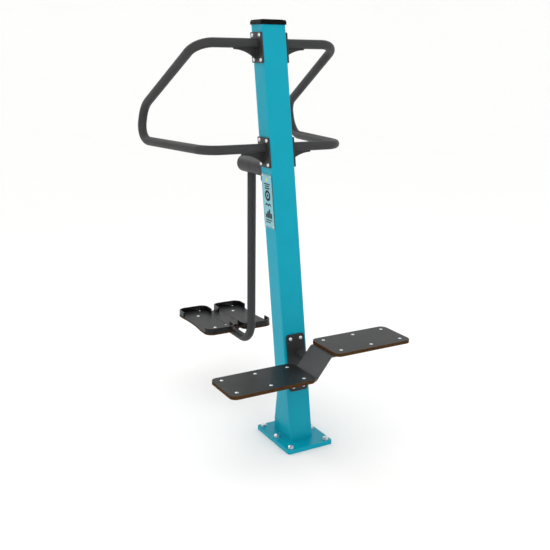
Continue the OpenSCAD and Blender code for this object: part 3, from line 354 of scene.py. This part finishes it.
tube_coat = powder_coat("dark_grey_powder_coat", ("#39393A", "#343435"), 0.5, 0.2, 2.0, 0.02)
plate_coat = powder_coat("charcoal_powder_coat", ("#2B2B2C", "#262627"), 0.42, 0.3, 2.5, 0.03)
for side, sx in (("left", -1), ("right", 1)):
    dressed(f"{side}_handle_tube", f"{side}_handle", tube_coat)
    for level, bar in (("upper", upper_bar), ("lower", lower_bar)):
        end = f"{side}_{level}"
        dressed(f"{end}_flange", f"{end}_flange_coated", plate_coat, round_mm=0.9)
        dressed(f"{end}_gusset", f"{end}_gusset_coated", plate_coat, round_mm=0.6)
        ring = [(
            sx * (flange_face + ring_lift), post_y(bar) + (tube_radius + ring_lift) * cos(i * pi / 16),
            bar + (tube_radius + ring_lift) * sin(i * pi / 16)) for i in range(32)]
        under = bar - tube_radius - seam_sink
        seams = [(ring, True)]
        for sy in (-1, 1):
            y = post_y(bar) + sy * (gusset_half + bead_lift)
            seams += [
                ([(sx * x, y, under)
                  for x in (flange_face + bead_inset, flange_face + gusset_length)], False),
                ([(sx * (flange_face + bead_lift), y, z)
                  for z in (under - seam_gap, under - gusset_depth)], False),
            ]
        weld(f"{end}_handle_weld", seams, handle_bead_mm, plate_coat, "stand")


# Screws, nuts, washers and rivets. Cold-headed domes with pressed sockets, stamped washers and domed cap
# nuts, all bright zinc-plated in a barrel, which leaves them shiny with a slightly cloudy sheen.
zinc, zinc_tree, zinc_shader, zinc_place = new_material("bright_zinc_plated_steel", 0.3, metallic=1.0)
zinc_cloud = add(zinc_tree, "ShaderNodeTexNoise", {}, {"Vector": zinc_place, "Scale": 1000 / 6, "Detail": 4})
zinc_tint = add(zinc_tree, "ShaderNodeMix", {"data_type": "RGBA"}, {
    0: zinc_cloud.outputs[0], 6: linear("#EDEDEE"), 7: linear("#D3D6D9")})
zinc_tree.links.new(zinc_tint.outputs[2], zinc_shader.inputs["Base Color"])
zinc_sheen = add(zinc_tree, "ShaderNodeMapRange", {}, {
    "Value": zinc_cloud.outputs[0], "To Min": 0.22, "To Max": 0.4})
zinc_tree.links.new(zinc_sheen.outputs[0], zinc_shader.inputs["Roughness"])
for node in (
    "anchor_washers", "anchor_nuts", "post_inserts", "handle_bolts", "sign_rivets", "hub_flange_bolts",
    "step_flange_bolts", "step_board_bolts", "step_board_nuts", "foot_board_bolts", "foot_board_nuts",
    "rim_screws",
):
    dressed(node, node + "_plated", zinc)


# Information plate. Thin aluminium sheet, printed pale teal and dark, clear coated, punched and riveted
# to the post's left face. It carries only plain shapes: a frame, rings, bars, waves and a round dot.
sign_height = 1.122
sign_face = -0.063
border_w, border_h, border_line = 86, 234, 1.6
border_x, border_y = 43.6, 118
print_lift = 0.00012

plate_print, plate_tree, plate_shader, plate_place = new_material("printed_aluminium_sheet", 0.32)
plate_cloud = add(plate_tree, "ShaderNodeTexNoise", {}, {
    "Vector": plate_place, "Scale": 1000 / 40, "Detail": 2})
plate_tint = add(plate_tree, "ShaderNodeMix", {"data_type": "RGBA"}, {
    0: plate_cloud.outputs[0], 6: linear("#7CBAC5"), 7: linear("#72B2BE")})
plate_tree.links.new(plate_tint.outputs[2], plate_shader.inputs["Base Color"])
plate_sheen = add(plate_tree, "ShaderNodeMapRange", {}, {
    "Value": plate_cloud.outputs[0], "To Min": 0.26, "To Max": 0.38})
plate_tree.links.new(plate_sheen.outputs[0], plate_shader.inputs["Roughness"])

# The plate's cut edges are coloured dark as painted shade along its thickness, which draws a thin line round
# it.
painted_shade_edge, edge_shade_tree, edge_shade_shader, edge_shade_place = new_material("painted_shade_plate_edge", 0.4)
edge_shade_cloud = add(edge_shade_tree, "ShaderNodeTexNoise", {}, {"Vector": edge_shade_place, "Scale": 1000 / 20, "Detail": 2})
edge_shade_tint = add(edge_shade_tree, "ShaderNodeMix", {"data_type": "RGBA"}, {
    0: edge_shade_cloud.outputs[0], 6: linear("#1B2326"), 7: linear("#141A1C")})
edge_shade_tree.links.new(edge_shade_tint.outputs[2], edge_shade_shader.inputs["Base Color"])
# The plate's edge faces take the dark painted shade; its broad faces keep the print.
dressed(
    "sign_plate", "information_plate", plate_print, round_mm=0.4,
    edge_material=painted_shade_edge, flat_axis=0)

plate_frame = Matrix((
    (0, 0, -1, sign_face),
    (-1, tan(post_lean), 0, post_y(sign_height)),
    (0, 1, 0, sign_height),
    (0, 0, 0, 1),
))


def stroke(shape, x, y, w, h, turn=0.0):
    """A flat printed bar, with its place from the plate's middle, its width and its height in millimetres."""
    made = bmesh.ops.create_grid(shape, x_segments=1, y_segments=1, size=0.5)["verts"]
    bmesh.ops.scale(shape, verts=made, vec=(w / 1000, h / 1000, 1))
    bmesh.ops.rotate(shape, verts=made, matrix=Matrix.Rotation(radians(turn), 3, "Z"))
    bmesh.ops.translate(shape, verts=made, vec=(x / 1000, y / 1000, 0))


def disc(shape, x, y, r, hole=0.0):
    """A flat printed disc, or a ring when it has a hole, also in millimetres."""
    made = bmesh.ops.create_circle(shape, cap_ends=True, radius=r / 1000, segments=48)["verts"]
    bmesh.ops.translate(shape, verts=made, vec=(x / 1000, y / 1000, 0))
    if hole:
        face = made[0].link_faces[0]
        bmesh.ops.inset_individual(shape, faces=[face], thickness=(r - hole) / 1000)
        bmesh.ops.delete(shape, geom=[face], context="FACES")


def printed(name, shape, colour, roughness):
    """Gives flat shapes the ink's thickness and lays them on the plate. Screen ink is dull and opaque."""
    material, tree, shader, place = new_material(name + "_ink", roughness, gloss=0.15)
    cloud = add(tree, "ShaderNodeTexNoise", {}, {"Vector": place, "Scale": 1000 / 15, "Detail": 2})
    tint = add(tree, "ShaderNodeMix", {"data_type": "RGBA"}, {
        0: cloud.outputs[0], 6: linear(colour), 7: [c * 0.85 for c in linear(colour)[:3]] + [1]})
    tree.links.new(tint.outputs[2], shader.inputs["Base Color"])
    made = bmesh.ops.extrude_face_region(shape, geom=shape.faces[:])["geom"]
    lifted = [v for v in made if isinstance(v, bmesh.types.BMVert)]
    bmesh.ops.translate(shape, verts=lifted, vec=(0, 0, print_lift))
    bmesh.ops.recalc_face_normals(shape, faces=shape.faces)
    bmesh.ops.transform(shape, matrix=plate_frame, verts=shape.verts)
    mesh = bpy.data.meshes.new(name)
    shape.to_mesh(mesh)
    shape.free()
    piece = link(name, mesh)
    finish_mesh(piece, [material], 30)
    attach(piece, "stand")


dark_marks = bmesh.new()
for side in (-1, 1):
    stroke(dark_marks, 0, side * border_y, border_w, border_line)
    stroke(dark_marks, side * border_x, 0, border_line, border_h)
for y, w in ((77, 54), (67, 38), (57, 46)):
    stroke(dark_marks, 0, y, w, 6)
disc(dark_marks, 0, 25, 25, 13)
disc(dark_marks, 0, 25, 7)
for x, turn in ((-19, 35), (-6.4, -35), (6.4, 35), (19, -35)):
    stroke(dark_marks, x, -16, 17, 7, turn)
for x, h in ((-22, 18), (-7.5, 30), (7.5, 40), (22, 24)):
    stroke(dark_marks, x, -77 + h / 2, 13, h)
stroke(dark_marks, 0, -86, 58, 5)
stroke(dark_marks, -8, -96, 42, 5)
printed("plate_dark_marks", dark_marks, "#080D0F", 0.4)

warm_mark = bmesh.new()
disc(warm_mark, 0, 96, 7)
printed("plate_round_dot", warm_mark, "#E5DC6E", 0.4)


# Hub. Two turned steel sleeves end to end behind the post: the front one is welded to its bolted flange,
# the rear one turns on ball bearings. Only the seam between them and the flat end cap show.
hub_height, hub_radius = 1.255, 0.042
flange_thickness = 0.008
flange_bead_mm = 6

dressed("hub_flange", "hub_flange_coated", plate_coat, round_mm=0.9)
for node in ("hub_fixed_sleeve", "hub_stop_disc", "swing_sleeve"):
    dressed(node, node + "_coated", tube_coat, round_mm=0.6)
dressed("hub_end_cap", "hub_end_cap_coated", tube_coat, round_mm=4.0)

# Bearing rings, balls and the turned parts round them are ground steel, bright and almost mirror smooth.
bearing_steel, bearing_tree, bearing_shader, bearing_place = new_material(
    "ground_bearing_steel", 0.15, metallic=1.0)
bearing_cloud = add(bearing_tree, "ShaderNodeTexNoise", {}, {
    "Vector": bearing_place, "Scale": 1000 / 8, "Detail": 2})
bearing_tint = add(bearing_tree, "ShaderNodeMix", {"data_type": "RGBA"}, {
    0: bearing_cloud.outputs[0], 6: linear("#CDCED0"), 7: linear("#BDBFC2")})
bearing_tree.links.new(bearing_tint.outputs[2], bearing_shader.inputs["Base Color"])
for node in (
    "hub_axle", "hub_collar", "bearing_inner_rings", "bearing_balls", "hub_spacer", "hub_washer", "hub_nut",
    "bearing_outer_rings", "stop_pin",
):
    dressed(node, node + "_ground", bearing_steel)

# Moulded rubber: nearly black and dull, with a fine grain from the mould.
rubber, rubber_tree, rubber_shader, rubber_place = new_material("moulded_black_rubber", 0.75, ior=1.52)
rubber_shader.inputs["Base Color"].default_value = linear("#101010")
rubber_grain = add(rubber_tree, "ShaderNodeTexNoise", {}, {
    "Vector": rubber_place, "Scale": 1000 / 0.8, "Detail": 2})
rubber_bump = add(rubber_tree, "ShaderNodeBump", {}, {"Height": rubber_grain.outputs[0], "Distance": 0.00005})
rubber_tree.links.new(rubber_bump.outputs[0], rubber_shader.inputs["Normal"])
dressed("stop_buffers", "stop_buffers_moulded", rubber)


def slanted_ring(x, z, radius, depth_sign):
    """A ring of points where a level tube meets the leaning post's front (-1) or back (1) flange."""
    spots = []
    for i in range(48):
        turn = i * pi / 24
        height = z + (radius + ring_lift) * sin(turn)
        face_y = post_y(height) + depth_sign * (post_half_y + (flange_thickness + ring_lift) / cos(post_lean))
        spots.append((x + (radius + ring_lift) * cos(turn), face_y, height))
    return spots


hub_ring = slanted_ring(0, hub_height, hub_radius, 1)
weld("hub_flange_weld", [(hub_ring, True)], flange_bead_mm, plate_coat, "stand")


# Stepper. A laser-cut flange on the post's front carries a short arm and a plate bent to a Z, with a rib
# each side of the bend. The boards are birch plywood with a dark grip film, its cut edges sealed brown.
carrier_coat = powder_coat("mid_grey_powder_coat", ("#49494A", "#434344"), 0.45, 0.3, 2.5, 0.03)
dressed("step_flange", "step_flange_coated", plate_coat, round_mm=0.9)
dressed("step_arm", "step_arm_coated", tube_coat)
dressed("step_arm_plug", "step_arm_plug_coated", tube_coat, round_mm=0.8)
dressed("step_carrier", "step_carrier_coated", carrier_coat, round_mm=1.2)
dressed("step_ribs", "step_ribs_coated", carrier_coat, round_mm=0.6)

# Film-faced plywood: a hot-pressed resin film with a fine pressed grip pattern, drawn coarser than the
# real 1 mm so that it shows, and here and there a lighter rubbed patch from shoes.
grip_film, film_tree, film_shader, film_place = new_material("dark_grip_film", 0.38, ior=1.55, gloss=0.16)
film_cloud = add(film_tree, "ShaderNodeTexNoise", {}, {"Vector": film_place, "Scale": 1000 / 90, "Detail": 5})
film_grit = add(film_tree, "ShaderNodeTexNoise", {}, {"Vector": film_place, "Scale": 1000 / 4, "Detail": 3})
film_blend = add(film_tree, "ShaderNodeMath", {"operation": "MULTIPLY_ADD"}, {
    0: film_grit.outputs[0], 1: 0.5, 2: film_cloud.outputs[0]})
film_share = add(film_tree, "ShaderNodeMapRange", {}, {
    "Value": film_blend.outputs[0], "From Min": 0.55, "From Max": 0.95})
film_tint = add(film_tree, "ShaderNodeMix", {"data_type": "RGBA"}, {
    0: film_share.outputs[0], 6: linear("#191A1B"), 7: linear("#232425")})
film_tree.links.new(film_tint.outputs[2], film_shader.inputs["Base Color"])
film_sheen = add(film_tree, "ShaderNodeMapRange", {}, {
    "Value": film_grit.outputs[0], "To Min": 0.28, "To Max": 0.48})
film_tree.links.new(film_sheen.outputs[0], film_shader.inputs["Roughness"])
film_bump = add(film_tree, "ShaderNodeBump", {}, {
    "Height": film_grit.outputs[0], "Distance": 0.0003, "Strength": 0.7})
film_tree.links.new(film_bump.outputs[0], film_shader.inputs["Normal"])

# Cut plywood edge: veneers that run along and across in turn, so they take the brown sealer darker and
# lighter. The real ones are 1.4 mm thick; a dark and a light one together are drawn 5.3 mm thick here, or
# they would blur to one tone.
veneer_pair = 0.0053
ply_edge, ply_tree, ply_shader, ply_place = new_material(
    "sealed_birch_plywood_edge", 0.6, ior=1.5, gloss=0.05)
ply_split = add(ply_tree, "ShaderNodeSeparateXYZ", {}, {0: ply_place})
ply_wave = add(ply_tree, "ShaderNodeMath", {"operation": "MULTIPLY"}, {
    0: ply_split.outputs[2], 1: 2 * pi / veneer_pair})
ply_bands = add(ply_tree, "ShaderNodeMath", {"operation": "SINE"}, {0: ply_wave.outputs[0]})
ply_grain = add(ply_tree, "ShaderNodeTexNoise", {}, {"Vector": ply_place, "Scale": 1000 / 12, "Detail": 4})
ply_level = add(ply_tree, "ShaderNodeMath", {"operation": "MULTIPLY_ADD"}, {
    0: ply_bands.outputs[0], 1: 0.35, 2: ply_grain.outputs[0]})
ply_tint = add(ply_tree, "ShaderNodeMix", {"data_type": "RGBA"}, {
    0: ply_level.outputs[0], 6: linear("#2D1B0A"), 7: linear("#553B1F")})
ply_tree.links.new(ply_tint.outputs[2], ply_shader.inputs["Base Color"])
ply_bump = add(ply_tree, "ShaderNodeBump", {}, {
    "Height": ply_level.outputs[0], "Distance": 0.0002, "Strength": 0.5})
ply_tree.links.new(ply_bump.outputs[0], ply_shader.inputs["Normal"])

for level in ("lower", "upper"):
    dressed(
        f"{level}_step_board", f"{level}_board_laminated", grip_film, round_mm=1.2,
        edge_material=ply_edge)

arm_x, arm_height = 0.024, (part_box("step_arm")[0].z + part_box("step_arm")[1].z) / 2
arm_ring = slanted_ring(arm_x, arm_height, tube_radius, -1)
weld("step_flange_weld", [(arm_ring, True)], flange_bead_mm, plate_coat, "stand")


# Swing. The same 42.4 mm tube hangs from the hub, turns back under the foot board and ends in a plug. A
# plate and ribs welded on it carry the board, which is plywood like the steps. A moulded plastic rim,
# screwed down by a tab inside, goes round each toe and heel.
dressed("swing_tube", "swing_tube_coated", tube_coat)
dressed("swing_tube_plug", "swing_tube_plug_moulded", cap_plastic, round_mm=1.0)
dressed("foot_carrier", "foot_carrier_coated", plate_coat, round_mm=0.5)
dressed("foot_ribs", "foot_ribs_coated", plate_coat, round_mm=0.6)
dressed("foot_board", "foot_board_laminated", grip_film, round_mm=0.8, edge_material=ply_edge)

# Moulded polyamide: black, harder and glossier than the post's cap, with a faint grain.
rim_plastic, rim_tree, rim_shader, rim_place = new_material(
    "moulded_black_polyamide", 0.34, ior=1.53, gloss=0.3)
rim_shader.inputs["Base Color"].default_value = linear("#030304")
rim_grain = add(rim_tree, "ShaderNodeTexNoise", {}, {"Vector": rim_place, "Scale": 1000 / 2, "Detail": 2})
rim_sheen = add(rim_tree, "ShaderNodeMapRange", {}, {
    "Value": rim_grain.outputs[0], "To Min": 0.28, "To Max": 0.4})
rim_tree.links.new(rim_sheen.outputs[0], rim_shader.inputs["Roughness"])
for place in ("left_front", "left_rear", "right_front", "right_rear"):
    dressed(f"{place}_rim", f"{place}_rim_moulded", rim_plastic, round_mm=2.4)
